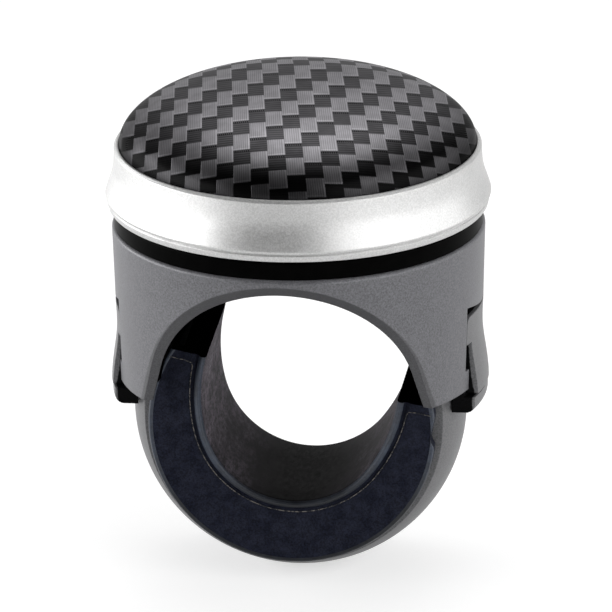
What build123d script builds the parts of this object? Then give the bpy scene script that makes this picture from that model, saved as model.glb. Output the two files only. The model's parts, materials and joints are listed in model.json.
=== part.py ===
"""Steering wheel spinner knob: a free-turning head on a saddle that clamps to the wheel's rim.

Millimetres. The origin is the centre of the lower arc of the rim's section, where the rim lies
in the clamp. Y runs along the rim, Z up through the knob, and the camera side is -Y.
The knob's own axis stands KNOB_X beside the origin, because the rubber liner sits turned in its hoop.
"""
import os
from math import asin, cos, degrees, hypot, pi, radians, sin, sqrt, tan

from build123d import *

os.makedirs("parts", exist_ok=True)

# Rim bore and liner
BORE_R = 16.0           # lower arc of the rim's section
BORE_SWELL = 1.2        # bore's greatest half width beyond the lower arc's radius
BORE_WIDE_AT = 5.25     # height of the greatest width above the lower arc's centre
ARC_RISE = 2.3          # lower arc's centre above the centre that the liner turns about
LINER_TURN = 12.0       # degrees the liner sits turned in its hoop
LINER_END = 9.3         # top of the liner's arms above its turning centre
LINER_WALL = 7.5        # rubber between the bore's arc and the body that turns in the hoop
FLANGE_STEP = 1.9       # round flange stands out from that body at each end
NECK_STEP = 0.8         # flange's upper arms stand out this much
FLANGE_THICK = 3.0
BEAD_STAND = 0.45       # bead round the bore stands out from the flange's face
BEAD_WIDE = 1.7
PANEL_INSET = 2.1       # sunk panel in the flange's face starts this far from the bore
PANEL_STEP = 1.7        # panel's round edge inside the turning body's radius
PANEL_DEEP = 0.35

# Hoop
HOOP_HALF = 11.0        # half the hoop's width along the rim
STRAP_EDGE = 2.6        # strap's thickness at its edges
STRAP_CROWN = 3.0       # extra thickness at the middle of the crowned strap
TURN_GAP = 0.3          # liner's body to the hoop's inside
ARM_UNDER_PIN = 2.7     # top of the hoop's arms below the levers' pins
TOOTH_PITCH = 2.0
TOOTH_DEEP = 1.1
TOOTH_COUNT = 5
TOOTH_START = 0.4       # first tooth's share of a pitch below the arm's top
TOOTH_HALF = 4.6        # half the length of a ratchet tooth
POCKET_WALL = 2.8       # strap left outside the lightening pockets
POCKET_EDGE = 3.4       # pockets end this far inside the strap's edges
POCKET_COUNT = 7
RIB_ANGLE = 4.0         # ribs between the pockets, degrees
CUT_MARGIN = 1.0        # cuts run this far past the faces that they open

# Saddle housing
BODY_BOTTOM = 3.8
BODY_WALL = 2.2
BODY_TAPER = 0.9        # radius gained from the bottom to the top
CAVITY_GAP = 0.4        # hoop's crown to the cavity
ROOF_THICK = 3.0
ROOF_DROP = 0.5         # arch's crown below the ceiling
ARCH_INSET = 0.6        # arch's radius inside the liner's body radius
ARCH_Z = 5.0            # height of the arch's centre
ARCH_BEVEL = 2.2
FOOT_LEAN = 14.0        # degrees the arch's feet lean outwards
GUIDE_DEEP = 4.0        # ribs that guide the arms stand in from the cavity's wall
GUIDE_SUNK = 1.6        # ribs' outer ends inside the cavity's radius, where the wall curves in
GUIDE_THICK = 1.3
GUIDE_GAP = 0.3
LEAD_IN = 0.6           # cavity widens at its mouth, so that the turned liner enters
LEAD_HIGH = 2.5
EDGE_ROUND = 0.7
BOSS_R = 7.4
BOSS_HIGH = 4.6
SPIGOT_INSET = 0.3
SPIGOT_WALL = 1.5
SPIGOT_HIGH = 1.5

# Collar ring
COLLAR_INSET = 0.4
COLLAR_LAP = 2.0        # collar reaches this far in from the spigot
COLLAR_HIGH = 3.3
SEAT_GAP = 0.1

# Release levers
PIN_INSET = 3.4         # pin's axis inside the body's bottom radius
PIN_DROP = 2.1          # pin's axis below the lever's top
PIN_R = 0.75
PIN_GRIP = 2.2          # length of pin held by the housing at each end
PIN_FIT = 0.05
BARREL_R = 1.5
LEVER_RISE = 13.6       # lever's top above the body's bottom
UPPER_EDGE = 1.0        # lever's upper part is this much narrower than the hoop at each side
SIDE_NOTCH = 2.1        # step in at the side notch
NOTCH_DROP = 5.1        # notch's upper edge below the lever's top
NOTCH_HIGH = 4.8
COVER_DROP = 1.1        # lower edge of the grey cover below the body's bottom
COVER_FLARE = 1.3       # cover's lip beyond the body's bottom radius
COVER_THICK = 1.0
TOE_DROP = 0.4          # toe's upper edge below the body's bottom
TOE_HIGH = 4.0
TOE_EDGE = 1.0          # toe is this much narrower than the upper part at each side
TOE_FLARE = 1.1         # toe beyond the body's bottom radius
LEVER_GAP = 0.25
ARM_GAP = 0.3
PAWL_GAP = 0.15         # pawl crests to rack crests, as a pawl that rides on the crests
PAWL_FIRST = 2          # rack tooth that the upper pawl stands at
PAWL_COUNT = 2
SPRING_WIRE_R = 0.25
SPRING_COIL_R = 1.2
SPRING_TURNS = 4.5
SPRING_PITCH = 0.6
SPRING_LEG = 6.0        # leg that reaches up into the housing's lug
LEVER_LEG = 1.2         # leg that presses on the lever
LEG_TRAVEL = 0.35       # room behind that leg for the lever's swing
LUG_RISE = 5.0          # underside of the lug that holds the spring, above the pin
LUG_HIGH = 2.0
LUG_DEEP = 3.4
LUG_HALF = 1.0
SWING_GAP = 0.2         # lever's top edge to the housing
SPRING_SLOT = 2.2       # half width of the gap that the spring stands in
SPRING_ROOM = 1.8       # half height of that gap
LEG_SLOT = 0.5          # half width of the slot that the spring's leg lies in
WINDOW_GAP = 0.9        # housing's window beside the lower part of the lever
CORE_INSET = 0.75       # joint between the lever's core and its cover, inside the body's bottom radius
TOE_LINE = 0.4          # dark line between the cover and the toe
TOE_ROUND = 1.5
COVER_ROUND = 1.4

# Spindle and bearing
BOLT_R = 3.0
BOLT_FLATS = 10.0
BOLT_HEAD = 4.0
BOLT_STAND = 1.2        # bolt's end above the nut
BOLT_HOLE_GAP = 0.1
SPACER_HIGH = 1.2
SHOULDER_WALL = 1.6     # spacers bear on the inner race alone
BEARING_WIDE = 6.0
INNER_WALL = 1.7
OUTER_WALL = 1.8
RACE_HALF = 1.5         # half the radial gap between the races
BALL_R = 1.75
BALL_COUNT = 7
BALL_FIT = 0.04
CAGE_HALF = 0.55
CAGE_EDGE = 2.3         # cage's ring reaches this far from the balls' plane
WASHER_HIGH = 1.0
NUT_HIGH = 5.0
NUT_HEX_HIGH = 4.0      # hexagon part of the nut, below its round collar

# Head
RING_GAP = 0.4          # collar's top to the turning bezel
RING_INSET = 0.9        # base's radius inside the body's top radius
RING_WALL = 0.35        # bezel's top beyond the base's radius
RING_FLARE = 1.6        # bezel's lip beyond its top
RING_EDGE = 0.5         # height of the bezel's slanted top edge
RING_EDGE_IN = 0.4
FLARE_SHAPE = ((0.36, 0.09), (0.64, 0.375))     # shares of the flare's height and width
LIP_HIGH = 1.3          # groove above the ring's lower edge
LIP_STEP = 0.5
LIP_TURN = 0.6          # the flare ends this far above the groove
LIP_ROUND = 0.15
LIP_FOOT = 0.25
BASE_LIFT = 0.5         # base's underside above the bezel's
BASE_THICK = 2.6
BASE_STEP = 0.8         # step in from the base's disc to its rim
BASE_RIM_HIGH = 6.0
BASE_RIM_WALL = 1.6
DOME_OVER = 0.3         # dome's edge beyond the base's rim
DOME_LIFT = 1.0         # ledge in the bezel above the base's rim
DOME_EDGE_HIGH = 0.55   # straight edge of the dome above that ledge
DOME_HIGH = 12.0
DOME_WALL = 1.8
DOME_STEPS = 4
RING_STAND = 0.15       # bezel's top above the dome's edge
HUB_WALL = 2.5
HUB_LIP = 1.5           # hub's lip under the bearing's outer race
HUB_STAND = 0.8         # hub's top above the retaining ring
RIB_COUNT = 8
RIB_THICK = 1.4
RIB_HIGH = 3.5
SCREW_RING = 20.0
SCREW_COUNT = 4
SCREW_R = 1.2
SCREW_HEAD_R = 2.4
SCREW_HEAD_HIGH = 1.3
SCREW_LONG = 9.0
SCREW_SLOT = 0.6
SCREW_SLOT_LONG = 2.9
SCREW_BOSS_R = 2.6
BOSS_COVER = 0.5        # screw bosses end this far under the dome's outside
CLIP_HIGH = 1.0
CLIP_BITE = 0.8         # how far the retaining ring stands in its groove
CLIP_LAP = 1.2          # how far it reaches in over the outer race
CLIP_MOUTH = 2.6        # opening between the ring's ends
CLIP_EYE_AT = 2.4
CLIP_EYE_R = 1.2
CLIP_HOLE_R = 0.5

# Pad under the ceiling
PAD_HALF_X = 15.5
PAD_HALF_Y = 12.5
PAD_HOLLOW = 1.3        # hollow's radius beyond the bore's greatest half width
PAD_THICK = 5.0         # rubber over the middle of the hollow
PAD_DEEP = 7.4          # depth of the pad's ends
PAD_EDGE = 0.8
PEG_R = 1.5
PEG_HIGH = 2.0
PEG_X = 11.0
PAD_GROOVE_R = 0.6
PAD_GROOVES = 5
PAD_GROOVE_STEP = 14.0  # degrees between the pad's grip grooves

# Sizes of the clamp worked out from the bore
BORE_HALF = BORE_R + BORE_SWELL
LINER_R = BORE_R + LINER_WALL
FLANGE_R = LINER_R + FLANGE_STEP
FLANGE_NECK = LINER_R + NECK_STEP
PANEL_R = LINER_R - PANEL_STEP
FLANGE_BACK = HOOP_HALF + TURN_GAP
FLANGE_FACE = FLANGE_BACK + FLANGE_THICK
BEAD_FACE = FLANGE_FACE + BEAD_STAND
HOOP_IN = LINER_R + TURN_GAP
HOOP_EDGE = HOOP_IN + STRAP_EDGE
HOOP_CROWN = HOOP_EDGE + STRAP_CROWN
POCKET_HALF = HOOP_HALF - POCKET_EDGE

# Sizes of the saddle and levers worked out from the hoop
CAVITY_R = HOOP_CROWN + CAVITY_GAP
BODY_BOTTOM_R = CAVITY_R + BODY_WALL
BODY_TOP_R = BODY_BOTTOM_R + BODY_TAPER
ARCH_R = LINER_R - ARCH_INSET
CEILING = ARCH_Z + ARCH_R + ROOF_DROP
BODY_TOP = CEILING + ROOF_THICK
BOSS_TOP = BODY_TOP + BOSS_HIGH
GUIDE_IN = CAVITY_R - GUIDE_DEEP
GUIDE_ROOT = CAVITY_R - GUIDE_SUNK
SPIGOT_OUT = CAVITY_R - SPIGOT_INSET
SPIGOT_IN = SPIGOT_OUT - SPIGOT_WALL
COLLAR_R = BODY_TOP_R - COLLAR_INSET
COLLAR_IN = SPIGOT_IN - COLLAR_LAP
COLLAR_TOP = BODY_TOP + COLLAR_HIGH
LEVER_TOP = BODY_BOTTOM + LEVER_RISE
PIN_X = BODY_BOTTOM_R - PIN_INSET
PIN_Z = LEVER_TOP - PIN_DROP
ARM_TOP = PIN_Z - ARM_UNDER_PIN
UPPER_HALF = HOOP_HALF - UPPER_EDGE
LOWER_HALF = UPPER_HALF - SIDE_NOTCH
TOE_HALF = UPPER_HALF - TOE_EDGE
PIN_HALF = UPPER_HALF + PIN_GRIP
NOTCH_TOP = LEVER_TOP - NOTCH_DROP
NOTCH_BOTTOM = NOTCH_TOP - NOTCH_HIGH
COVER_FOOT = BODY_BOTTOM - COVER_DROP
COVER_BOTTOM_R = BODY_BOTTOM_R + COVER_FLARE
TOE_TOP = BODY_BOTTOM - TOE_DROP
TOE_BOTTOM = TOE_TOP - TOE_HIGH
TOE_R = BODY_BOTTOM_R + TOE_FLARE
CORE_R = BODY_BOTTOM_R - CORE_INSET
LUG_Z = PIN_Z + LUG_RISE
LUG_IN = CAVITY_R - LUG_DEEP
PAD_ARC_R = BORE_HALF + PAD_HOLLOW
PAD_ARC_Z = CEILING - PAD_THICK - PAD_ARC_R
PAD_LOW = CEILING - PAD_DEEP

# Sizes of the head worked out from the saddle and the bearing
SHOULDER_R = BOLT_R + SHOULDER_WALL
BALL_PITCH_R = BOLT_R + INNER_WALL + RACE_HALF
BEARING_R = BALL_PITCH_R + RACE_HALF + OUTER_WALL
BEARING_BOTTOM = BOSS_TOP + SPACER_HIGH
BEARING_TOP = BEARING_BOTTOM + BEARING_WIDE
BALL_Z = BEARING_BOTTOM + BEARING_WIDE / 2
BOLT_HEAD_TOP = CEILING + BOLT_HEAD
BOLT_END = BEARING_TOP + WASHER_HIGH + NUT_HIGH + BOLT_STAND
HUB_R = BEARING_R + HUB_WALL
HUB_LIP_R = BEARING_R - HUB_LIP
HUB_TOP = BEARING_TOP + CLIP_HIGH + HUB_STAND
CLIP_IN = BEARING_R - CLIP_LAP
BASE_R = BODY_TOP_R - RING_INSET
BASE_RIM_R = BASE_R - BASE_STEP
DOME_R = BASE_RIM_R + DOME_OVER
RING_TOP_OUT = BASE_R + RING_WALL
RING_FLARE_R = RING_TOP_OUT + RING_FLARE
RING_BOTTOM = COLLAR_TOP + RING_GAP
LIP_LINE = RING_BOTTOM + LIP_HIGH
BASE_BOTTOM = RING_BOTTOM + BASE_LIFT
BASE_FLOOR = BASE_BOTTOM + BASE_THICK
BASE_RIM_TOP = BASE_FLOOR + BASE_RIM_HIGH
DOME_STEP_Z = BASE_RIM_TOP + DOME_LIFT
DOME_EDGE_Z = DOME_STEP_Z + DOME_EDGE_HIGH
RING_TOP = DOME_EDGE_Z + RING_STAND

# Places and planes
KNOB_X = -ARC_RISE * sin(radians(LINER_TURN))
TURN_Z = -ARC_RISE * cos(radians(LINER_TURN))
TURN_AXIS = Axis((KNOB_X, 0, TURN_Z), (0, 1, 0))
KNOB_AXIS = Axis((KNOB_X, 0, 0), (0, 0, 1))
FRONT = Plane(origin=(KNOB_X, 0, 0), x_dir=(1, 0, 0), z_dir=(0, -1, 0))
LEVEL = Plane(origin=(KNOB_X, 0, 0), x_dir=(1, 0, 0), z_dir=(0, 0, 1))
SIDE = Plane(origin=(KNOB_X, 0, 0), x_dir=(0, 1, 0), z_dir=(1, 0, 0))
MIRROR = Plane(origin=(KNOB_X, 0, 0), x_dir=(0, 1, 0), z_dir=(1, 0, 0))
TURNED_X = (cos(radians(LINER_TURN)), 0, -sin(radians(LINER_TURN)))
LINER = Plane(origin=(KNOB_X, 0, TURN_Z), x_dir=TURNED_X, z_dir=(0, -1, 0))


def body_radius(z):
    """Outer radius of the tapered saddle at a height."""
    share = (z - BODY_BOTTOM) / (BODY_TOP - BODY_BOTTOM)
    return BODY_BOTTOM_R + (BODY_TOP_R - BODY_BOTTOM_R) * share


def bore_outline(grow, top):
    """Closed outline of the rim bore, grown outwards, for a sketch on the liner's plane."""
    low_r = BORE_R + grow
    half = BORE_HALF + grow
    side_r = (half**2 + BORE_WIDE_AT**2 - low_r**2) / (2 * (half - low_r))
    lean = degrees(asin(BORE_WIDE_AT / (side_r - low_r)))
    wide_z = ARC_RISE + BORE_WIDE_AT
    with BuildLine() as outline:
        CenterArc((0, ARC_RISE), low_r, 180 + lean, 180 - 2 * lean)
        CenterArc((half - side_r, wide_z), side_r, -lean, lean)
        CenterArc((side_r - half, wide_z), side_r, 180, lean)
        Polyline((half, wide_z), (half, top), (-half, top), (-half, wide_z))
    return outline.line


def crown_radius(half_width, rise):
    """Radius of the arc that crowns a strip of this half width by this much."""
    return (half_width**2 + rise**2) / (2 * rise)


CROWN_R = crown_radius(HOOP_HALF, HOOP_CROWN - HOOP_EDGE)


# Rubber liner: an oval bore in a round body with a flange at each end
with BuildPart() as clamp_liner:
    with BuildSketch(LINER):
        Circle(LINER_R)
    extrude(amount=FLANGE_BACK, both=True)
    for side in (-1, 1):
        with BuildSketch(LINER.offset(side * FLANGE_BACK)):
            Circle(FLANGE_R)
            with Locations((0, LINER_END)):
                Rectangle(4 * FLANGE_R, 2 * LINER_END, mode=Mode.SUBTRACT)
            with Locations((0, LINER_END / 2)):
                Rectangle(2 * FLANGE_NECK, LINER_END + CUT_MARGIN)
        extrude(amount=side * (FLANGE_FACE - FLANGE_BACK))
    with BuildSketch(LINER.offset(-BEAD_FACE)):
        with Locations((0, LINER_END)):
            Rectangle(3 * FLANGE_R, 2 * FLANGE_R, align=(Align.CENTER, Align.MIN))
    extrude(amount=2 * BEAD_FACE, mode=Mode.SUBTRACT)
    for side in (-1, 1):
        with BuildSketch(LINER.offset(side * FLANGE_FACE)):
            Circle(PANEL_R)
            with Locations((0, LINER_END - BEAD_WIDE)):
                Rectangle(3 * PANEL_R, 2 * PANEL_R, align=(Align.CENTER, Align.MIN), mode=Mode.SUBTRACT)
            make_face(bore_outline(PANEL_INSET, 2 * LINER_END).edges(), mode=Mode.SUBTRACT)
        extrude(amount=-side * PANEL_DEEP, mode=Mode.SUBTRACT)
        with BuildSketch(LINER.offset(side * FLANGE_FACE)):
            make_face(bore_outline(BEAD_WIDE, 2 * LINER_END).edges())
            with Locations((0, LINER_END)):
                Rectangle(3 * PANEL_R, 2 * PANEL_R, align=(Align.CENTER, Align.MIN), mode=Mode.SUBTRACT)
        extrude(amount=side * (BEAD_FACE - FLANGE_FACE))
    with BuildSketch(LINER.offset(-BEAD_FACE)):
        make_face(bore_outline(0, 2 * LINER_END).edges())
    extrude(amount=2 * BEAD_FACE, mode=Mode.SUBTRACT)
clamp_liner.part.label = "clamp_liner"

# Hoop: a crowned strap round the liner, with two ratchet-toothed arms that enter the saddle's legs
with BuildPart() as clamp_hoop:
    with BuildSketch(LEVEL.offset(TURN_Z)) as strap:
        with BuildLine():
            Polyline(
                (HOOP_EDGE, -HOOP_HALF),
                (HOOP_IN, -HOOP_HALF),
                (HOOP_IN, HOOP_HALF),
                (HOOP_EDGE, HOOP_HALF),
            )
            ThreePointArc((HOOP_EDGE, HOOP_HALF), (HOOP_CROWN, 0), (HOOP_EDGE, -HOOP_HALF))
        make_face()
    revolve(axis=TURN_AXIS, revolution_arc=180)
    with BuildSketch(LEVEL.offset(TURN_Z)):
        add(strap.sketch_local)
    extrude(amount=ARM_TOP - TURN_Z)
    mirror(about=Plane(origin=(KNOB_X, 0, 0), z_dir=(1, 0, 0)))
    pocket_angle = 180 / (POCKET_COUNT + 1)
    for index in range(POCKET_COUNT):
        angle = radians(pocket_angle * (index + 0.5) + RIB_ANGLE / 2)
        spoke = (cos(angle), 0, -sin(angle))
        with BuildSketch(Plane(origin=(KNOB_X, 0, TURN_Z), x_dir=spoke, z_dir=(-sin(angle), 0, -cos(angle)))):
            with Locations((HOOP_CROWN - POCKET_WALL, 0)):
                Rectangle(STRAP_EDGE + CUT_MARGIN, 2 * POCKET_HALF, align=(Align.MAX, Align.CENTER))
        revolve(axis=TURN_AXIS, revolution_arc=pocket_angle - RIB_ANGLE, mode=Mode.SUBTRACT)
    for side in (-1, 1):
        for index in range(TOOTH_COUNT):
            step_top = ARM_TOP - TOOTH_PITCH * (index + TOOTH_START)
            with BuildSketch(FRONT):
                with BuildLine():
                    Polyline(
                        (side * (HOOP_CROWN + CUT_MARGIN), step_top),
                        (side * (HOOP_CROWN - TOOTH_DEEP), step_top),
                        (side * HOOP_CROWN, step_top - TOOTH_PITCH),
                        (side * (HOOP_CROWN + CUT_MARGIN), step_top - TOOTH_PITCH),
                        close=True,
                    )
                make_face()
            extrude(amount=TOOTH_HALF, both=True, mode=Mode.SUBTRACT)
clamp_hoop.part.label = "clamp_hoop"

# Saddle housing: a tapered cup over two legs, arched through for the rim, with a window in each leg
def arch_outline():
    """Closed outline of the arch: a round head on feet that lean outwards."""
    lean = radians(FOOT_LEAN)
    spring = (ARCH_R * cos(lean), ARCH_Z + ARCH_R * sin(lean))
    low = BODY_BOTTOM - CUT_MARGIN
    foot = spring[0] + (spring[1] - low) * tan(lean)
    with BuildLine() as outline:
        CenterArc((0, ARCH_Z), ARCH_R, FOOT_LEAN, 180 - 2 * FOOT_LEAN)
        Polyline((-spring[0], spring[1]), (-foot, low), (foot, low), spring)
    return outline.line


SWING_R = hypot(body_radius(LEVER_TOP) - PIN_X, LEVER_TOP - PIN_Z)
SPRING_HALF = SPRING_PITCH * SPRING_TURNS / 2
LUG_Y = SPRING_HALF + SPRING_LEG * SPRING_PITCH / (2 * pi * SPRING_COIL_R)

with BuildPart() as saddle_housing:
    with BuildSketch(FRONT):
        with BuildLine():
            Polyline(
                (0, BODY_BOTTOM),
                (BODY_BOTTOM_R, BODY_BOTTOM),
                (BODY_TOP_R, BODY_TOP),
                (SPIGOT_OUT, BODY_TOP),
                (SPIGOT_OUT, BODY_TOP + SPIGOT_HIGH),
                (SPIGOT_IN, BODY_TOP + SPIGOT_HIGH),
                (SPIGOT_IN, BODY_TOP),
                (BOSS_R, BODY_TOP),
                (BOSS_R, BOSS_TOP),
                (0, BOSS_TOP),
                close=True,
            )
        make_face()
    revolve(axis=KNOB_AXIS)
    shoulder = saddle_housing.edges().filter_by(GeomType.CIRCLE).group_by(SortBy.RADIUS)[-1]
    fillet(shoulder.sort_by(Axis.Z)[-1], radius=EDGE_ROUND)
    with BuildSketch(FRONT):
        with BuildLine():
            Polyline(
                (0, BODY_BOTTOM),
                (CAVITY_R + LEAD_IN, BODY_BOTTOM),
                (CAVITY_R, BODY_BOTTOM + LEAD_HIGH),
                (CAVITY_R, CEILING),
                (0, CEILING),
                close=True,
            )
        make_face()
    revolve(axis=KNOB_AXIS, mode=Mode.SUBTRACT)
    with BuildSketch(LEVEL.offset(BODY_BOTTOM + LEAD_HIGH)):
        for side in (-1, 1):
            for end in (-1, 1):
                rib_y = end * (HOOP_HALF + GUIDE_GAP + GUIDE_THICK / 2)
                with Locations((side * (GUIDE_IN + GUIDE_ROOT) / 2, rib_y)):
                    Rectangle(GUIDE_ROOT - GUIDE_IN, GUIDE_THICK)
    extrude(amount=CEILING - BODY_BOTTOM - LEAD_HIGH)
    with BuildSketch(FRONT):
        make_face(arch_outline().edges())
    extrude(amount=BODY_TOP_R + CUT_MARGIN, both=True, mode=Mode.SUBTRACT)
    mid_wall = CAVITY_R + (LEAD_IN + BODY_WALL) / 2
    mouths = [
        edge
        for edge in saddle_housing.edges(Select.LAST)
        if edge.center().Z > BODY_BOTTOM + SEAT_GAP
        and hypot(edge.center().X - KNOB_X, edge.center().Y) > mid_wall
    ]
    chamfer(mouths, length=ARCH_BEVEL)
    for side in (-1, 1):
        with BuildSketch(SIDE.offset(side * (GUIDE_IN - CUT_MARGIN))):
            with Locations((0, NOTCH_BOTTOM)):
                upper_high = LEVER_TOP + LEVER_GAP - NOTCH_BOTTOM
                Rectangle(2 * (UPPER_HALF + LEVER_GAP), upper_high, align=(Align.CENTER, Align.MIN))
                Rectangle(2 * (LOWER_HALF + WINDOW_GAP), NOTCH_BOTTOM, align=(Align.CENTER, Align.MAX))
        extrude(amount=side * (BODY_TOP_R - GUIDE_IN + 2 * CUT_MARGIN), mode=Mode.SUBTRACT)
        with BuildSketch(FRONT):
            with Locations((side * PIN_X, PIN_Z)):
                Circle(SWING_R + SWING_GAP)
        extrude(amount=UPPER_HALF + LEVER_GAP, both=True, mode=Mode.SUBTRACT)
        with BuildSketch(FRONT):
            with Locations((side * PIN_X, PIN_Z)):
                Circle(PIN_R)
        extrude(amount=PIN_HALF, both=True, mode=Mode.SUBTRACT)
    for side in (-1, 1):
        with BuildSketch(LEVEL.offset(LUG_Z)):
            with Locations((side * (LUG_IN + CAVITY_R) / 2, LUG_Y)):
                Rectangle(CAVITY_R + SEAT_GAP - LUG_IN, 2 * LUG_HALF)
        extrude(amount=LUG_HIGH)
        with BuildSketch(LEVEL.offset(LUG_Z)):
            with Locations((side * (PIN_X - SPRING_COIL_R), LUG_Y)):
                Circle(SPRING_WIRE_R + SEAT_GAP)
        extrude(amount=LUG_HIGH, mode=Mode.SUBTRACT)
    with BuildSketch(LEVEL.offset(CEILING)):
        RegularPolygon(BOLT_FLATS / 2 + BOLT_HOLE_GAP, 6, major_radius=False)
    extrude(amount=BOLT_HEAD, mode=Mode.SUBTRACT)
    with BuildSketch(LEVEL.offset(CEILING)):
        Circle(BOLT_R + BOLT_HOLE_GAP)
    extrude(amount=BOSS_TOP - CEILING, mode=Mode.SUBTRACT)
    with BuildSketch(LEVEL.offset(CEILING)):
        with Locations((-PEG_X, 0), (PEG_X, 0)):
            Circle(PEG_R)
    extrude(amount=PEG_HIGH, mode=Mode.SUBTRACT)
saddle_housing.part.label = "saddle_housing"

# Rubber pad under the ceiling, hollowed to the rim and pegged into the saddle
groove_span = PAD_GROOVE_STEP * (PAD_GROOVES - 1)
with BuildPart() as saddle_pad:
    with BuildSketch(FRONT):
        with Locations((0, PAD_LOW)):
            Rectangle(2 * PAD_HALF_X, CEILING - PAD_LOW, align=(Align.CENTER, Align.MIN))
        with Locations((-KNOB_X, PAD_ARC_Z)):
            Circle(PAD_ARC_R, mode=Mode.SUBTRACT)
            with PolarLocations(PAD_ARC_R, PAD_GROOVES, 90 - groove_span / 2, groove_span, endpoint=True):
                Circle(PAD_GROOVE_R, mode=Mode.SUBTRACT)
    extrude(amount=PAD_HALF_Y, both=True)
    fillet(saddle_pad.edges().filter_by(Axis.Z), radius=PAD_EDGE)
    with BuildSketch(LEVEL.offset(CEILING)):
        with Locations((-PEG_X, 0), (PEG_X, 0)):
            Circle(PEG_R)
    extrude(amount=PEG_HIGH)
saddle_pad.part.label = "saddle_pad"

# Black collar between the saddle and the turning head, seated over the saddle's spigot
with BuildPart() as collar_ring:
    with BuildSketch(FRONT):
        with BuildLine():
            Polyline(
                (COLLAR_IN, BODY_TOP),
                (SPIGOT_IN - SEAT_GAP, BODY_TOP),
                (SPIGOT_IN - SEAT_GAP, BODY_TOP + SPIGOT_HIGH + SEAT_GAP),
                (SPIGOT_OUT + SEAT_GAP, BODY_TOP + SPIGOT_HIGH + SEAT_GAP),
                (SPIGOT_OUT + SEAT_GAP, BODY_TOP),
                (COLLAR_R - SEAT_GAP, BODY_TOP),
                (COLLAR_R, BODY_TOP + SEAT_GAP),
                (COLLAR_R, COLLAR_TOP - EDGE_ROUND / 2),
                (COLLAR_R - EDGE_ROUND / 2, COLLAR_TOP),
                (COLLAR_IN, COLLAR_TOP),
                close=True,
            )
        make_face()
    revolve(axis=KNOB_AXIS)
collar_ring.part.label = "collar_ring"

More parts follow.
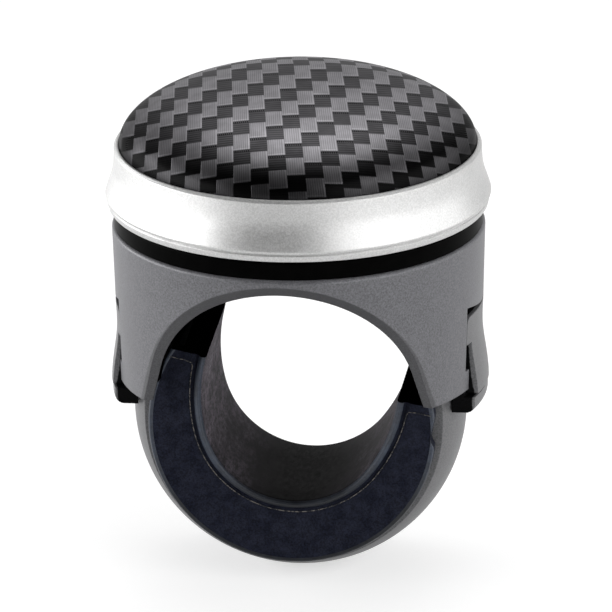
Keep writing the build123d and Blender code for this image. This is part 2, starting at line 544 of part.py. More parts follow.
# Release lever: a curved plate hung on a pin, with ratchet pawls inside and a finger toe below
PAWL_FACE = HOOP_CROWN + PAWL_GAP
PAWL_TOP = ARM_TOP - TOOTH_PITCH * (PAWL_FIRST + TOOTH_START) - SEAT_GAP
with BuildPart() as release_lever_right:
    with BuildSketch(LEVEL.offset(TOE_BOTTOM)):
        Circle(CORE_R)
        with Locations((HOOP_CROWN - CROWN_R, 0)):
            Circle(CROWN_R + ARM_GAP, mode=Mode.SUBTRACT)
        with Locations((GUIDE_IN - CUT_MARGIN, 0)):
            Rectangle(CORE_R, 2 * UPPER_HALF, align=(Align.MIN, Align.CENTER), mode=Mode.INTERSECT)
    extrude(amount=LEVER_TOP - LEVER_GAP - TOE_BOTTOM)
    with BuildSketch(SIDE.offset(GUIDE_IN - CUT_MARGIN)):
        for end in (-1, 1):
            with Locations((end * (LOWER_HALF + UPPER_HALF) / 2, TOE_TOP)):
                Rectangle(UPPER_HALF - LOWER_HALF, NOTCH_TOP - TOE_TOP, align=(Align.CENTER, Align.MIN))
            with Locations((end * (TOE_HALF + UPPER_HALF) / 2, TOE_TOP)):
                Rectangle(UPPER_HALF - TOE_HALF, TOE_TOP - TOE_BOTTOM, align=(Align.CENTER, Align.MAX))
    extrude(amount=CORE_R, mode=Mode.SUBTRACT)
    with BuildSketch(LEVEL.offset(TOE_BOTTOM)):
        Circle(TOE_R)
        Circle(CORE_R - SEAT_GAP, mode=Mode.SUBTRACT)
        with Locations((GUIDE_IN, 0)):
            Rectangle(CORE_R, 2 * TOE_HALF, align=(Align.MIN, Align.CENTER), mode=Mode.INTERSECT)
    extrude(amount=COVER_FOOT - TOE_LINE - TOE_BOTTOM)
    toe_edges = release_lever_right.edges().filter_by(GeomType.CIRCLE).group_by(SortBy.RADIUS)[-1]
    fillet(toe_edges.sort_by(Axis.Z)[0], radius=TOE_ROUND)
    with BuildSketch(FRONT):
        with Locations((PIN_X, PIN_Z)):
            Circle(BARREL_R)
    extrude(amount=UPPER_HALF, both=True)
    with BuildSketch(FRONT):
        with Locations((PIN_X + BARREL_R, PIN_Z)):
            Rectangle(2 * BARREL_R + CUT_MARGIN, 2 * SPRING_ROOM, align=(Align.MAX, Align.CENTER))
    extrude(amount=SPRING_SLOT, both=True, mode=Mode.SUBTRACT)
    with BuildSketch(FRONT):
        with Locations((PIN_X, PIN_Z)):
            Circle(PIN_R + PIN_FIT)
    extrude(amount=UPPER_HALF + CUT_MARGIN, both=True, mode=Mode.SUBTRACT)
    with BuildSketch(FRONT):
        with BuildLine():
            Polyline(
                (PAWL_FACE, PAWL_TOP),
                (CORE_R - COVER_THICK / 2, PAWL_TOP),
                (CORE_R - COVER_THICK / 2, PAWL_TOP - PAWL_COUNT * TOOTH_PITCH),
                (PAWL_FACE, PAWL_TOP - PAWL_COUNT * TOOTH_PITCH),
                close=True,
            )
        make_face()
    extrude(amount=TOOTH_HALF - ARM_GAP, both=True)
    for index in range(PAWL_COUNT):
        crest = PAWL_TOP - TOOTH_PITCH * index
        with BuildSketch(FRONT):
            with BuildLine():
                Polyline(
                    (PAWL_FACE - CUT_MARGIN, crest),
                    (PAWL_FACE, crest),
                    (PAWL_FACE + TOOTH_DEEP - 2 * SEAT_GAP, crest - TOOTH_PITCH + SEAT_GAP),
                    (PAWL_FACE - CUT_MARGIN, crest - TOOTH_PITCH + SEAT_GAP),
                    close=True,
                )
            make_face()
        extrude(amount=TOOTH_HALF, both=True, mode=Mode.SUBTRACT)
    with BuildSketch(FRONT):
        with Locations((PIN_X, PIN_Z)):
            Circle(SWING_R)
            Rectangle(4 * SWING_R, SWING_R + PIN_Z - TOE_BOTTOM, align=(Align.CENTER, Align.MAX))
    extrude(amount=UPPER_HALF, both=True, mode=Mode.INTERSECT)
    with BuildSketch(SIDE.offset(GUIDE_IN)):
        with Locations((-SPRING_HALF, PIN_Z - SPRING_COIL_R)):
            Rectangle(2 * LEG_SLOT, LEVER_TOP - PIN_Z + SPRING_COIL_R, align=(Align.CENTER, Align.MIN))
    extrude(amount=PIN_X + SPRING_COIL_R + SPRING_WIRE_R + LEG_TRAVEL - GUIDE_IN, mode=Mode.SUBTRACT)
release_lever_right.part.label = "release_lever_right"

# Grey cover of the lever, flush with the saddle above and flared to a finger lip below
with BuildPart() as lever_cover_right:
    with BuildSketch(FRONT):
        with BuildLine():
            Polyline(
                (COVER_BOTTOM_R, COVER_FOOT),
                (CORE_R, COVER_FOOT),
                (CORE_R, LEVER_TOP),
                (body_radius(LEVER_TOP), LEVER_TOP),
            )
            Spline(
                (body_radius(LEVER_TOP), LEVER_TOP),
                (body_radius(NOTCH_TOP), NOTCH_TOP),
                (COVER_BOTTOM_R, COVER_FOOT),
                tangents=((-0.05, -1), (0.03, -1)),
            )
        make_face()
    revolve(axis=KNOB_AXIS)
    with BuildSketch(SIDE.offset(GUIDE_IN - CUT_MARGIN)) as panel_shape:
        with Locations((0, LEVER_TOP)):
            Rectangle(2 * UPPER_HALF, LEVER_TOP - NOTCH_TOP, align=(Align.CENTER, Align.MAX))
            Rectangle(2 * LOWER_HALF, LEVER_TOP - COVER_FOOT, align=(Align.CENTER, Align.MAX))
        fillet(panel_shape.vertices().group_by(Axis.Y)[-1], radius=COVER_ROUND)
    extrude(amount=BODY_TOP_R, mode=Mode.INTERSECT)
    with BuildSketch(FRONT):
        with Locations((PIN_X, PIN_Z)):
            Circle(BARREL_R)
    extrude(amount=UPPER_HALF, both=True, mode=Mode.SUBTRACT)
lever_cover_right.part.label = "lever_cover_right"

# Left lever and cover, mirrored from the right ones
with BuildPart() as release_lever_left:
    mirror(release_lever_right.part, about=MIRROR)
release_lever_left.part.label = "release_lever_left"

with BuildPart() as lever_cover_left:
    mirror(lever_cover_right.part, about=MIRROR)
lever_cover_left.part.label = "lever_cover_left"

# Hinge pin of the lever, pressed into the housing at both ends of the window
with BuildPart() as lever_pin_right:
    with BuildSketch(FRONT):
        with Locations((PIN_X, PIN_Z)):
            Circle(PIN_R)
    extrude(amount=PIN_HALF, both=True)
    chamfer(lever_pin_right.edges().filter_by(GeomType.CIRCLE), length=SEAT_GAP)
lever_pin_right.part.label = "lever_pin_right"

with BuildPart() as lever_pin_left:
    mirror(lever_pin_right.part, about=MIRROR)
lever_pin_left.part.label = "lever_pin_left"

# Torsion spring round the pin, one leg on the lever and one in the housing's lug
COIL = Plane(origin=(KNOB_X + PIN_X, SPRING_HALF, PIN_Z), x_dir=(-1, 0, 0), z_dir=(0, -1, 0))
turns = COIL * Helix(SPRING_PITCH, 2 * SPRING_HALF, SPRING_COIL_R, mode=Mode.PRIVATE)
with BuildPart() as lever_spring_right:
    with BuildLine() as coil:
        Line((turns @ 0) - (turns % 0) * SPRING_LEG, turns @ 0)
        add(turns)
        Line(turns @ 1, (turns @ 1) + (turns % 1) * LEVER_LEG)
    with BuildSketch(Plane(origin=(turns @ 0) - (turns % 0) * SPRING_LEG, z_dir=turns % 0)):
        Circle(SPRING_WIRE_R)
    sweep(path=coil.line, transition=Transition.RIGHT)
lever_spring_right.part.label = "lever_spring_right"

with BuildPart() as lever_spring_left:
    mirror(lever_spring_right.part, about=MIRROR)
lever_spring_left.part.label = "lever_spring_left"

# Spindle: a hexagon bolt up through the saddle, with a spacer, a washer and a lock nut
with BuildPart() as spindle_bolt:
    with BuildSketch(LEVEL.offset(CEILING)):
        RegularPolygon(BOLT_FLATS / 2, 6, major_radius=False)
    extrude(amount=BOLT_HEAD)
    with BuildSketch(LEVEL.offset(BOLT_HEAD_TOP)):
        Circle(BOLT_R)
    extrude(amount=BOLT_END - BOLT_HEAD_TOP)
    chamfer(spindle_bolt.edges().filter_by(GeomType.CIRCLE).sort_by(Axis.Z)[-1], length=EDGE_ROUND)
spindle_bolt.part.label = "spindle_bolt"

with BuildPart() as bearing_spacer:
    with BuildSketch(LEVEL.offset(BOSS_TOP)):
        Circle(SHOULDER_R)
        Circle(BOLT_R + SEAT_GAP, mode=Mode.SUBTRACT)
    extrude(amount=SPACER_HIGH)
bearing_spacer.part.label = "bearing_spacer"

with BuildPart() as spindle_washer:
    with BuildSketch(LEVEL.offset(BEARING_TOP)):
        Circle(SHOULDER_R)
        Circle(BOLT_R + SEAT_GAP, mode=Mode.SUBTRACT)
    extrude(amount=WASHER_HIGH)
spindle_washer.part.label = "spindle_washer"

with BuildPart() as lock_nut:
    with BuildSketch(LEVEL.offset(BEARING_TOP + WASHER_HIGH)):
        RegularPolygon(BOLT_FLATS / 2, 6, major_radius=False)
    extrude(amount=NUT_HEX_HIGH)
    with BuildSketch(LEVEL.offset(BEARING_TOP + WASHER_HIGH)):
        Circle(BOLT_FLATS / 2 - SEAT_GAP)
    extrude(amount=NUT_HIGH)
    fillet(lock_nut.edges().filter_by(GeomType.CIRCLE).sort_by(Axis.Z)[-1], radius=EDGE_ROUND)
    with BuildSketch(LEVEL.offset(BEARING_TOP + WASHER_HIGH)):
        Circle(BOLT_R)
    extrude(amount=NUT_HIGH, mode=Mode.SUBTRACT)
lock_nut.part.label = "lock_nut"

# Ball bearing between the spindle and the head
with BuildPart() as bearing_inner_race:
    with BuildSketch(FRONT):
        with Locations((BOLT_R, BALL_Z)):
            Rectangle(BALL_PITCH_R - RACE_HALF - BOLT_R, BEARING_WIDE, align=(Align.MIN, Align.CENTER))
        with Locations((BALL_PITCH_R, BALL_Z)):
            Circle(BALL_R + BALL_FIT, mode=Mode.SUBTRACT)
    revolve(axis=KNOB_AXIS)
bearing_inner_race.part.label = "bearing_inner_race"

with BuildPart() as bearing_outer_race:
    with BuildSketch(FRONT):
        with Locations((BEARING_R, BALL_Z)):
            Rectangle(BEARING_R - BALL_PITCH_R - RACE_HALF, BEARING_WIDE, align=(Align.MAX, Align.CENTER))
        with Locations((BALL_PITCH_R, BALL_Z)):
            Circle(BALL_R + BALL_FIT, mode=Mode.SUBTRACT)
    revolve(axis=KNOB_AXIS)
bearing_outer_race.part.label = "bearing_outer_race"

with BuildPart() as bearing_cage:
    with BuildSketch(LEVEL.offset(BALL_Z)):
        Circle(BALL_PITCH_R + CAGE_HALF)
        Circle(BALL_PITCH_R - CAGE_HALF, mode=Mode.SUBTRACT)
    extrude(amount=CAGE_EDGE, both=True)
    for index in range(BALL_COUNT):
        angle = radians(360 * index / BALL_COUNT)
        with BuildSketch(Plane(origin=(KNOB_X, 0, BALL_Z), z_dir=(cos(angle), sin(angle), 0))):
            Circle(BALL_R + 2 * BALL_FIT)
        extrude(amount=BEARING_R, mode=Mode.SUBTRACT)
bearing_cage.part.label = "bearing_cage"

with BuildPart() as bearing_balls:
    with Locations(LEVEL.offset(BALL_Z)):
        with PolarLocations(BALL_PITCH_R, BALL_COUNT):
            Sphere(BALL_R)
bearing_balls.part.label = "bearing_balls"

# Head base: a ribbed disc with the bearing's hub, which carries the bezel and the dome
with BuildPart() as head_base:
    with BuildSketch(FRONT):
        with BuildLine():
            Polyline(
                (HUB_LIP_R, BASE_BOTTOM),
                (BASE_R, BASE_BOTTOM),
                (BASE_R, BASE_FLOOR),
                (BASE_RIM_R, BASE_FLOOR),
                (BASE_RIM_R, BASE_RIM_TOP),
                (BASE_RIM_R - BASE_RIM_WALL, BASE_RIM_TOP),
                (BASE_RIM_R - BASE_RIM_WALL, BASE_FLOOR),
                (HUB_R, BASE_FLOOR),
                (HUB_R, HUB_TOP),
                (BEARING_R, HUB_TOP),
                (BEARING_R, BEARING_TOP + CLIP_HIGH),
                (BEARING_R + CLIP_BITE, BEARING_TOP + CLIP_HIGH),
                (BEARING_R + CLIP_BITE, BEARING_TOP),
                (BEARING_R, BEARING_TOP),
                (BEARING_R, BEARING_BOTTOM),
                (HUB_LIP_R, BEARING_BOTTOM),
                close=True,
            )
        make_face()
    revolve(axis=KNOB_AXIS)
    rib_in = HUB_R - SEAT_GAP
    rib_out = BASE_RIM_R - BASE_RIM_WALL + SEAT_GAP
    with BuildSketch(LEVEL.offset(BASE_FLOOR)):
        with PolarLocations((rib_in + rib_out) / 2, RIB_COUNT):
            Rectangle(rib_out - rib_in, RIB_THICK)
    extrude(amount=RIB_HIGH)
    with BuildSketch(LEVEL.offset(BASE_BOTTOM)):
        with PolarLocations(SCREW_RING, SCREW_COUNT, 180 / RIB_COUNT):
            Circle(SCREW_R + SEAT_GAP)
    extrude(amount=BASE_FLOOR - BASE_BOTTOM, mode=Mode.SUBTRACT)
    with BuildSketch(LEVEL.offset(BASE_BOTTOM)):
        with PolarLocations(SCREW_RING, SCREW_COUNT, 180 / RIB_COUNT):
            Circle(SCREW_HEAD_R + SEAT_GAP)
    extrude(amount=SCREW_HEAD_HIGH + SEAT_GAP, mode=Mode.SUBTRACT)
head_base.part.label = "head_base"

# Retaining ring that holds the outer race in the hub
with BuildPart() as retaining_ring:
    with BuildSketch(LEVEL.offset(BEARING_TOP)):
        Circle(BEARING_R + CLIP_BITE - SEAT_GAP / 2)
        Circle(CLIP_IN, mode=Mode.SUBTRACT)
        with Locations((BEARING_R, 0)):
            Rectangle(BEARING_R, CLIP_MOUTH, mode=Mode.SUBTRACT)
        for end in (-1, 1):
            with Locations((CLIP_IN, end * CLIP_EYE_AT)):
                Circle(CLIP_EYE_R)
                Circle(CLIP_HOLE_R, mode=Mode.SUBTRACT)
    extrude(amount=CLIP_HIGH)
retaining_ring.part.label = "retaining_ring"

# Screws that draw the dome down onto the base
with BuildPart() as head_screws:
    with BuildSketch(LEVEL.offset(BASE_BOTTOM + SEAT_GAP)):
        with PolarLocations(SCREW_RING, SCREW_COUNT, 180 / RIB_COUNT):
            Circle(SCREW_HEAD_R)
    extrude(amount=SCREW_HEAD_HIGH)
    with BuildSketch(LEVEL.offset(BASE_BOTTOM + SEAT_GAP)):
        with PolarLocations(SCREW_RING, SCREW_COUNT, 180 / RIB_COUNT):
            Circle(SCREW_R)
    extrude(amount=SCREW_HEAD_HIGH + SCREW_LONG)
    with BuildSketch(LEVEL.offset(BASE_BOTTOM + SEAT_GAP)):
        with PolarLocations(SCREW_RING, SCREW_COUNT, 180 / RIB_COUNT):
            Rectangle(SCREW_SLOT_LONG, SCREW_SLOT)
            Rectangle(SCREW_SLOT, SCREW_SLOT_LONG)
    extrude(amount=SCREW_HEAD_HIGH / 2, mode=Mode.SUBTRACT)
head_screws.part.label = "head_screws"


def dome_curve(inset):
    """Quarter of the dome's oval section, drawn from its edge to its top."""
    points = []
    for step in range(DOME_STEPS + 1):
        angle = radians(90 * step / DOME_STEPS)
        points.append(((DOME_R - inset) * cos(angle), DOME_EDGE_Z + (DOME_HIGH - inset) * sin(angle)))
    Spline(*points, tangents=((0, 1), (-1, 0)))


def dome_height(radius):
    """Height of the dome's outside at a radius."""
    return DOME_EDGE_Z + DOME_HIGH * sqrt(1 - (radius / DOME_R) ** 2)


# Domed cap: its skirt stands on the base's rim, its edge lies in the bezel, and four bosses take the screws
BOSS_END = dome_height(SCREW_RING + SCREW_BOSS_R) - BOSS_COVER
with BuildPart() as dome_cap:
    with BuildSketch(FRONT):
        with BuildLine():
            dome_curve(0)
            Polyline(
                (DOME_R, DOME_EDGE_Z),
                (DOME_R, DOME_STEP_Z),
                (BASE_RIM_R - SEAT_GAP, DOME_STEP_Z),
                (BASE_RIM_R - SEAT_GAP, BASE_RIM_TOP),
                (DOME_R - DOME_WALL, BASE_RIM_TOP),
                (DOME_R - DOME_WALL, DOME_EDGE_Z),
            )
            dome_curve(DOME_WALL)
            Line((0, DOME_EDGE_Z + DOME_HIGH - DOME_WALL), (0, DOME_EDGE_Z + DOME_HIGH))
        make_face()
    revolve(axis=KNOB_AXIS)
    with BuildSketch(LEVEL.offset(BASE_FLOOR)):
        with PolarLocations(SCREW_RING, SCREW_COUNT, 180 / RIB_COUNT):
            Circle(SCREW_BOSS_R)
    extrude(amount=BOSS_END - BASE_FLOOR)
    with BuildSketch(LEVEL.offset(BASE_FLOOR)):
        with PolarLocations(SCREW_RING, SCREW_COUNT, 180 / RIB_COUNT):
            Circle(SCREW_R)
    extrude(amount=SCREW_LONG, mode=Mode.SUBTRACT)
dome_cap.part.label = "dome_cap"

# Bezel: the silver ring that flares down to a thin lip
FLARE_TOP = RING_TOP - RING_EDGE
FLARE_LOW = LIP_LINE + LIP_TURN
with BuildPart() as bezel_ring:
    with BuildSketch(FRONT):
        with BuildLine():
            flare = [(RING_TOP_OUT, FLARE_TOP)]
            for down, out in FLARE_SHAPE:
                flare.append((RING_TOP_OUT + out * RING_FLARE, FLARE_TOP + down * (FLARE_LOW - FLARE_TOP)))
            flare.append((RING_FLARE_R, FLARE_LOW))
            Spline(*flare, tangents=((0.05, -1), (0.25, -1)))
            Polyline(
                (RING_FLARE_R, FLARE_LOW),
                (RING_FLARE_R - LIP_ROUND, LIP_LINE + LIP_ROUND),
                (RING_FLARE_R - LIP_STEP, LIP_LINE),
                (RING_FLARE_R - LIP_STEP + LIP_FOOT, LIP_LINE - LIP_FOOT),
                (RING_FLARE_R - LIP_STEP, RING_BOTTOM),
                (BASE_R + SEAT_GAP, RING_BOTTOM),
                (BASE_R + SEAT_GAP, BASE_FLOOR + SEAT_GAP),
                (BASE_RIM_R + SEAT_GAP, BASE_FLOOR + SEAT_GAP),
                (BASE_RIM_R + SEAT_GAP, DOME_STEP_Z),
                (DOME_R + SEAT_GAP, DOME_STEP_Z),
                (DOME_R + SEAT_GAP, RING_TOP),
                (RING_TOP_OUT - RING_EDGE_IN, RING_TOP),
                (RING_TOP_OUT, FLARE_TOP),
            )
        make_face()
    revolve(axis=KNOB_AXIS)
bezel_ring.part.label = "bezel_ring"

pieces = (
    clamp_liner, clamp_hoop, saddle_housing, saddle_pad, collar_ring,
    release_lever_left, release_lever_right, lever_cover_left, lever_cover_right,
    lever_pin_left, lever_pin_right, lever_spring_left, lever_spring_right,
    spindle_bolt, bearing_spacer, spindle_washer, lock_nut,
    bearing_inner_race, bearing_outer_race, bearing_cage, bearing_balls,
    head_base, retaining_ring, head_screws, dome_cap, bezel_ring,
)
for piece in pieces:
    export_step(piece.part, "parts/" + piece.part.label + ".step")
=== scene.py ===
"""Looks of the steering wheel spinner knob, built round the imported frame.

Metres, in the frame of the CAD model: Y along the rim, Z up through the knob, camera on the -Y side.
The arch, dome and pad, and lengths inside the materials other than a bump's or a soft edge's, are in millimetres.
"""
import json
import math

import bmesh
import bpy
from mathutils import Matrix, Vector


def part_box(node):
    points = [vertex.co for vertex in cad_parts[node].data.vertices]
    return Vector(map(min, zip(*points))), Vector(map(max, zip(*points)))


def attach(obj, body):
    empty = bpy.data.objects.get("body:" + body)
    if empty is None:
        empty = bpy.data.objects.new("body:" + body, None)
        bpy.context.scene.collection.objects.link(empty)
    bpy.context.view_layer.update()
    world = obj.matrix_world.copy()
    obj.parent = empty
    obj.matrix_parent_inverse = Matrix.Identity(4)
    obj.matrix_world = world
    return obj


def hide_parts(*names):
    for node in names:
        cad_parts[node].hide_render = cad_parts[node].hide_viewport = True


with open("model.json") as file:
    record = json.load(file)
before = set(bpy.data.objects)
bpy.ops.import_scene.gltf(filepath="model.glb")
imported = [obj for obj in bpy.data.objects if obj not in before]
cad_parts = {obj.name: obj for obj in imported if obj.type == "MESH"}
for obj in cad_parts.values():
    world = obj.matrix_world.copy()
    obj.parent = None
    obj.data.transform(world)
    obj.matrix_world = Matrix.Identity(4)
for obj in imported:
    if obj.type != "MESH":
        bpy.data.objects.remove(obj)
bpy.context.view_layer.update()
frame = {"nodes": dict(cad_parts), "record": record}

MM = 1000.0  # millimetres in a metre
TINY = 1e-6

# Places on the object
KNOB_X = (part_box("bezel_ring")[0].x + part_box("bezel_ring")[1].x) / 2
KNOB_X_MM = KNOB_X * MM
FLOOR_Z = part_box("clamp_hoop")[0].z

# Camera, fitted to the photograph
AZIMUTH = math.radians(6.77)
ELEVATION = math.radians(19.40)
ROLL = math.radians(0.69)
CAMERA_FAR = 2.5
CAMERA_CLIP = (0.1, 50.0)
FOCAL_PX = 14172.0
PHOTO_PX = 612
SENSOR_MM = 36.0
AIM = Vector((0.000642, 0.0, 0.01532))

# Studio: the world's strength from ahead to behind, and the directions to the side and overhead in which it dims
STUDIO_BACK = (-0.75, 0.60, 0.04, 0.95)
STUDIO_SIDE = (0.20, 0.65)
STUDIO_OVERHEAD = (0.10, 0.45)
STUDIO_DIMMING = -0.85
FLOOR_HALF = 4.0
FLOOR_GREY = 0.58
FLOOR_GLOW = 0.56
LAMP_AIM = (KNOB_X, 0.0, 0.02)
LAMPS = (  # name, place, size, watts
    ("left_box", (-0.71, -0.05, 0.14), (1.20, 0.34), 7.8),
    ("right_box", (0.47, -0.37, 0.22), (0.60, 0.48), 2.9),
    ("right_rim", (0.66, 0.10, 0.17), (0.50, 0.38), 1.3),
    ("top_box", (0.0, 0.20, 0.70), (0.50, 0.50), 0.9),
)

# Arch of the saddle, in millimetres
ARCH_R = 22.9
ARCH_Z = 5.0
ARCH_BEVEL = 2.2
FOOT_LEAN = math.radians(14)
NOTCH_Z = 12.3

# Dome of the cap, in millimetres, and the steps of its mesh
DOME_R = 31.5
DOME_EDGE_Z = 45.75
DOME_HIGH = 12.0
DOME_FOOT_Z = 45.2
DOME_WALL = 1.8
RIM_R = 31.1
RIM_Z = 44.2
DOME_AROUND = 256
DOME_OUTER_STEPS = 60
DOME_INNER_STEPS = 30

# Weave of the cap: columns and rows as smooth curves of the sideways coordinates u and v of a slanted view.
# Terms: constant, u, v, u squared, u times v, v squared, and the cube of u for columns and of v for rows.
# The coordinates are hundreds of the photograph's pixels from a middle.
WEAVE_PIXELS = 100
WEAVE_MIDDLE = (300.0, 150.0)
WEAVE_COLUMNS = (-0.156, 5.6245, 0.5578, 0.0051, 0.7402, 0.0945, 0.3155)
WEAVE_ROWS = (0.4271, -0.1046, 3.2676, 0.1985, -0.0172, 0.5924, -0.1179)
WEAVE_SHIFT = 0.3643
LIGHT_SHARE = 0.552
RIBS_IN_COLUMN = 8
RIBS_IN_ROW = 14
RIB_HEIGHT = 0.20
FOLD_DROP = 0.5

# Tones of the weave: the floats with their ribs and grain, the painted highlight along the light floats' edges, the
# dark gaps, and the painted shade that both kinds of float have by height, darker towards the dome's edge, as heights
# and the shares between them
LIGHT_TONE, LIGHT_RIB, LIGHT_GRAIN = 0.232, 0.052, 0.05
DARK_TONE, DARK_RIB, DARK_GRAIN = 0.060, 0.022, 0.020
PAINTED_EDGE_HIGHLIGHT_TONE = 0.10
GAP_DEPTH = -0.85
LIGHT_SHADE = (DOME_EDGE_Z + 1.0, DOME_EDGE_Z + 9.0, 0.09, 1.0)
DARK_SHADE = (DOME_EDGE_Z + 3.0, DOME_EDGE_Z + 9.2, 0.02, 1.0)

# Range in which nearly all of a noise texture's values lie, and a narrower one for more contrast
NOISE_ALL = (0.3, 0.7)
NOISE_NARROW = (0.35, 0.65)

SOFT_EDGE = 0.0003
SHARP_ANGLE = math.radians(35)

# Liner, in its own turned frame: w points up between its arms
BORE_R = 0.0160
BORE_HALF = 0.0172
BORE_WIDE_AT = 0.00525
ARC_RISE = 0.0023
LINER_TURN = math.radians(12)
LINER_END = 0.0093
FLANGE_R = 0.0254
FLANGE_NECK = 0.0243
NECK_FROM = 0.0015
NECK_RISE = 0.002
LINER_STATIONS = 160
SIDE_R = (BORE_HALF**2 + BORE_WIDE_AT**2 - BORE_R**2) / (2 * (BORE_HALF - BORE_R))
LEAN = math.asin(BORE_WIDE_AT / (SIDE_R - BORE_R))
TURN_Z = -ARC_RISE * math.cos(LINER_TURN)
FARTHEST = 0.04     # beyond the bore's line in any direction
STEEPEST_END = 1.2  # beyond the direction of any arm's end
BISECTIONS = 30

# Half of the liner's section, from its middle plane outwards: (line followed, offset or radius, distance along the rim)
LINER_SECTION = (
    ("bore", 0.0, 0.0), ("bore", 0.0, 0.0070), ("bore", 0.0, 0.0140), ("bore", 0.00008, 0.01448),
    ("bore", 0.00030, 0.01485), ("bore", 0.00065, 0.01500), ("bore", 0.00100, 0.01488), ("bore", 0.00130, 0.01450),
    ("bore", 0.00150, 0.01412), ("bore", 0.00180, 0.01402), ("bore", 0.00225, 0.01422), ("bore", 0.00270, 0.01428),
    ("round", 0.0214, 0.01424), ("round", 0.0217, 0.01431), ("round", 0.0220, 0.01424), ("round", 0.0246, 0.01426),
    ("round", 0.02490, 0.01440), ("round", 0.02518, 0.01432), ("round", 0.0254, 0.01400),
    ("round", 0.0254, 0.0117), ("round", 0.02525, 0.01140), ("round", 0.0250, 0.0113), ("round", 0.0235, 0.0113),
    ("round", 0.0235, 0.0060), ("round", 0.0235, 0.0),
)

# Finishes of the liner's faces: strips of its half section, counted from the middle of the bore, and its arms' ends
LINER_FINISHES = ("rubber_black", "rubber_edge", "rubber_bore", "rubber_end_painted_shade")
FACE, EDGE, BORE, END = range(len(LINER_FINISHES))
BORE_STRIPS = range(0, 3)
EDGE_STRIPS = (3, 4, 5, 6, 15, 16, 17)

# Parting lines on the liner's faces: beside the bore, round a corner, and out to the arm's side
SEAM_OFFSET = 0.0021
SEAM_TOP = 0.0015
SEAM_CORNER = 0.0008
SEAM_OUT_X = 0.0236
SEAM_Y = 0.01430
SEAM_R = 0.00009

# Rubber pad in the roof of the saddle, in millimetres
PAD_TOP = 28.4
PAD_HALF_X = 15.5
PAD_HALF_Y = 12.5
PAD_LOW = 21.0
PAD_ARC_R = 18.5
PAD_ARC_Z = 4.9
PAD_ARC_STEPS = 96
PAD_GROOVE_R = 0.6
PAD_GROOVE_ANGLES = (62, 76, 90, 104, 118)
PAD_PEGS = (-11.0, 11.0)
PEG_R = 1.5
PEG_HIGH = 2.0
PEG_ROOT = 0.5
PEG_CHAMFER = 0.3
PEG_AROUND = 32


class Nodes:
    """Builds a node tree with short calls; each call returns the new node's first output."""

    def __init__(self, tree):
        self.tree = tree
        tree.nodes.clear()

    def add(self, kind, inputs=None, output=0, **settings):
        node = self.tree.nodes.new(kind)
        for key, value in settings.items():
            setattr(node, key, value)
        for key, value in (inputs or {}).items():
            if isinstance(value, bpy.types.NodeSocket):
                self.tree.links.new(value, node.inputs[key])
            else:
                node.inputs[key].default_value = value
        return node.outputs[output] if node.outputs else None

    def math(self, operation, *values, clamp=False):
        return self.add("ShaderNodeMath", dict(enumerate(values)), operation=operation, use_clamp=clamp)

    def plus(self, first, second):
        return self.math("ADD", first, second)

    def minus(self, first, second):
        return self.math("SUBTRACT", first, second)

    def times(self, first, second):
        return self.math("MULTIPLY", first, second)

    def times_plus(self, first, second, third):
        return self.math("MULTIPLY_ADD", first, second, third)

    def ramp(self, value, low, high, to_low=0.0, to_high=1.0, smooth=True):
        kind = "SMOOTHSTEP" if smooth else "LINEAR"
        inputs = {"Value": value, "From Min": low, "From Max": high, "To Min": to_low, "To Max": to_high}
        return self.add("ShaderNodeMapRange", inputs, interpolation_type=kind)

    def spread(self, noise, to_low, to_high, over=NOISE_ALL):
        """A noise's values spread over a range."""
        return self.ramp(noise, *over, to_low, to_high)

    def window(self, value, start, full, fading, end):
        """1 in the middle of a range of values, falling smoothly to 0 at both ends."""
        return self.times(self.ramp(value, start, full), self.ramp(value, fading, end, 1.0, 0.0))

    def mix(self, share, first, second):
        """Mixes two colours, whose sockets have the same names as those of other kinds of value."""
        node = self.tree.nodes.new("ShaderNodeMix")
        node.data_type = "RGBA"
        for index, value in ((0, share), (6, first), (7, second)):
            if isinstance(value, bpy.types.NodeSocket):
                self.tree.links.new(value, node.inputs[index])
            else:
                node.inputs[index].default_value = value
        return node.outputs[2]

    def tinted(self, tone, red=1.0, green=1.0, blue=1.0):
        """Colour of a tone, with a share for each channel."""
        shares = enumerate((red, green, blue))
        inputs = {index: tone if share == 1.0 else self.times(tone, share) for index, share in shares}
        return self.add("ShaderNodeCombineColor", inputs)

    def millimetres(self):
        """The object's own coordinates, in millimetres."""
        place = self.add("ShaderNodeTexCoord", output=3)
        return self.add("ShaderNodeVectorMath", {0: place, "Scale": MM}, operation="SCALE")

    def split(self, vector):
        node = self.tree.nodes.new("ShaderNodeSeparateXYZ")
        self.tree.links.new(vector, node.inputs[0])
        return tuple(node.outputs)

    def combine(self, x=0.0, y=0.0, z=0.0):
        return self.add("ShaderNodeCombineXYZ", {0: x, 1: y, 2: z})

    def dot(self, vector, direction):
        return self.add("ShaderNodeVectorMath", {0: vector, 1: direction}, 1, operation="DOT_PRODUCT")

    def noise(self, place, scale, detail=2.0, roughness=0.5):
        inputs = {"Vector": place, "Scale": scale, "Detail": detail, "Roughness": roughness}
        return self.add("ShaderNodeTexNoise", inputs)

    def bump(self, height, strength, distance, normal=None):
        inputs = {"Height": height, "Strength": strength, "Distance": distance}
        if normal is not None:
            inputs["Normal"] = normal
        return self.add("ShaderNodeBump", inputs)

    def soft_edges(self, radius=SOFT_EDGE):
        """Normals rounded over the edges, as a moulding's are."""
        return self.add("ShaderNodeBevel", {"Radius": radius}, samples=4)

    def surface(self, **values):
        """The shader and the output, from sockets written in lower case."""
        names = {key.replace("_", " ").title(): value for key, value in values.items()}
        inputs = {"Specular IOR Level" if key == "Specular" else key: value for key, value in names.items()}
        shader = self.add("ShaderNodeBsdfPrincipled", inputs)
        self.add("ShaderNodeOutputMaterial", {"Surface": shader})


